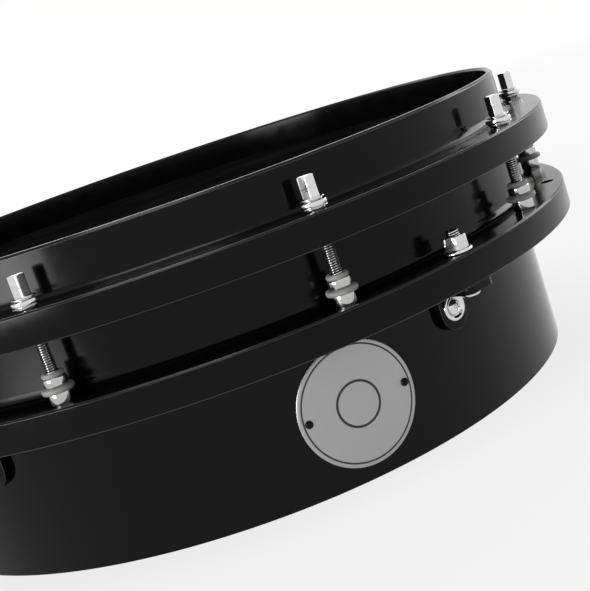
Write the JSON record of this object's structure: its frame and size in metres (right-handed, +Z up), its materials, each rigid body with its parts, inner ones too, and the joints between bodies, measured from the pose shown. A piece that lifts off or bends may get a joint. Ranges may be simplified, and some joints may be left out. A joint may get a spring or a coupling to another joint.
{
  "type": "marching snare drum",
  "caption": "Shallow marching snare drum: gloss black shell, drilled lug ring and hoop with drum-key tension rods into barrel nuts, black batter head with gut snares under it.",
  "frame": {"origin": "on the drum's axis, in the plane of the shell's lower edge", "axes": "+Z up along the drum's axis through the playing head; +X through one tension rod; the picture looks from about -Y"},
  "size_m": [0.4028, 0.4028, 0.1397],
  "materials": {
    "gloss_black": "high-gloss black lacquer on laminated wood",
    "satin_black": "satin black coated aluminium",
    "bracket_black": "black coated steel flat bar",
    "film_black": "matt black polyester film",
    "raw_aluminium": "plain aluminium",
    "chrome": "polished chrome plate",
    "satin_nickel": "satin nickel plate, with a grey nylon grommet and cap",
    "badge_silver": "matt silver sheet",
    "rivet_black": "black painted rivet",
    "gut_white": "off-white synthetic gut"
  },
  "bodies": {
    "drum_body": {"shell": "gloss_black", "batter_head": "film_black", "lug_ring": "satin_black", "barrel_nut_01": "satin_nickel", "barrel_nut_02": "satin_nickel", "barrel_nut_03": "satin_nickel", "barrel_nut_04": "satin_nickel", "barrel_nut_05": "satin_nickel", "barrel_nut_06": "satin_nickel", "barrel_nut_07": "satin_nickel", "barrel_nut_08": "satin_nickel", "barrel_nut_09": "satin_nickel", "barrel_nut_10": "satin_nickel", "ring_bracket_01": "bracket_black", "ring_bracket_02": "bracket_black", "ring_bracket_03": "bracket_black", "ring_bracket_04": "bracket_black", "ring_bracket_05": "bracket_black", "ring_bolt_01": "chrome", "ring_bolt_02": "chrome", "ring_bolt_03": "chrome", "ring_bolt_04": "chrome", "ring_bolt_05": "chrome", "shell_screw_01": "chrome", "shell_screw_02": "chrome", "shell_screw_03": "chrome", "shell_screw_04": "chrome", "shell_screw_05": "chrome", "badge": "badge_silver", "badge_rivet_01": "rivet_black", "badge_rivet_02": "rivet_black", "snare_strands": "gut_white", "snare_butt": "raw_aluminium", "adjuster_block": "raw_aluminium", "snare_carriage": "raw_aluminium"},
    "hoop": {"top_hoop": "satin_black", "flesh_hoop": "raw_aluminium", "rod_washer_01": "chrome", "rod_washer_02": "chrome", "rod_washer_03": "chrome", "rod_washer_04": "chrome", "rod_washer_05": "chrome", "rod_washer_06": "chrome", "rod_washer_07": "chrome", "rod_washer_08": "chrome", "rod_washer_09": "chrome", "rod_washer_10": "chrome"},
    "rod_01": {"tension_rod_01": "chrome"},
    "rod_02": {"tension_rod_02": "chrome"},
    "rod_03": {"tension_rod_03": "chrome"},
    "rod_04": {"tension_rod_04": "chrome"},
    "rod_05": {"tension_rod_05": "chrome"},
    "rod_06": {"tension_rod_06": "chrome"},
    "rod_07": {"tension_rod_07": "chrome"},
    "rod_08": {"tension_rod_08": "chrome"},
    "rod_09": {"tension_rod_09": "chrome"},
    "rod_10": {"tension_rod_10": "chrome"},
    "snare_adjuster": {"adjuster_screw": "chrome"}
  },
  "joints": [
    {"name": "hoop_pull_down", "type": "slide", "parent": "drum_body", "child": "hoop", "axis": [0, 0, -1], "range_m": [0, 0.0025]},
    {"name": "rod_turn_01", "type": "hinge", "parent": "hoop", "child": "rod_01", "pos_m": [0.1932, 0, 0.1185], "axis": [0, 0, 1], "range_deg": [-900, 900]},
    {"name": "rod_turn_02", "type": "hinge", "parent": "hoop", "child": "rod_02", "pos_m": [0.1563, 0.11356, 0.1185], "axis": [0, 0, 1], "range_deg": [-900, 900]},
    {"name": "rod_turn_03", "type": "hinge", "parent": "hoop", "child": "rod_03", "pos_m": [0.0597, 0.18374, 0.1185], "axis": [0, 0, 1], "range_deg": [-900, 900]},
    {"name": "rod_turn_04", "type": "hinge", "parent": "hoop", "child": "rod_04", "pos_m": [-0.0597, 0.18374, 0.1185], "axis": [0, 0, 1], "range_deg": [-900, 900]},
    {"name": "rod_turn_05", "type": "hinge", "parent": "hoop", "child": "rod_05", "pos_m": [-0.1563, 0.11356, 0.1185], "axis": [0, 0, 1], "range_deg": [-900, 900]},
    {"name": "rod_turn_06", "type": "hinge", "parent": "hoop", "child": "rod_06", "pos_m": [-0.1932, 0, 0.1185], "axis": [0, 0, 1], "range_deg": [-900, 900]},
    {"name": "rod_turn_07", "type": "hinge", "parent": "hoop", "child": "rod_07", "pos_m": [-0.1563, -0.11356, 0.1185], "axis": [0, 0, 1], "range_deg": [-900, 900]},
    {"name": "rod_turn_08", "type": "hinge", "parent": "hoop", "child": "rod_08", "pos_m": [-0.0597, -0.18374, 0.1185], "axis": [0, 0, 1], "range_deg": [-900, 900]},
    {"name": "rod_turn_09", "type": "hinge", "parent": "hoop", "child": "rod_09", "pos_m": [0.0597, -0.18374, 0.1185], "axis": [0, 0, 1], "range_deg": [-900, 900]},
    {"name": "rod_turn_10", "type": "hinge", "parent": "hoop", "child": "rod_10", "pos_m": [0.1563, -0.11356, 0.1185], "axis": [0, 0, 1], "range_deg": [-900, 900]},
    {"name": "snare_adjuster_turn", "type": "hinge", "parent": "drum_body", "child": "snare_adjuster", "pos_m": [0.10936, 0.07946, 0.1035], "axis": [0.809, 0.5878, 0], "range_deg": [-720, 720]}
  ]
}
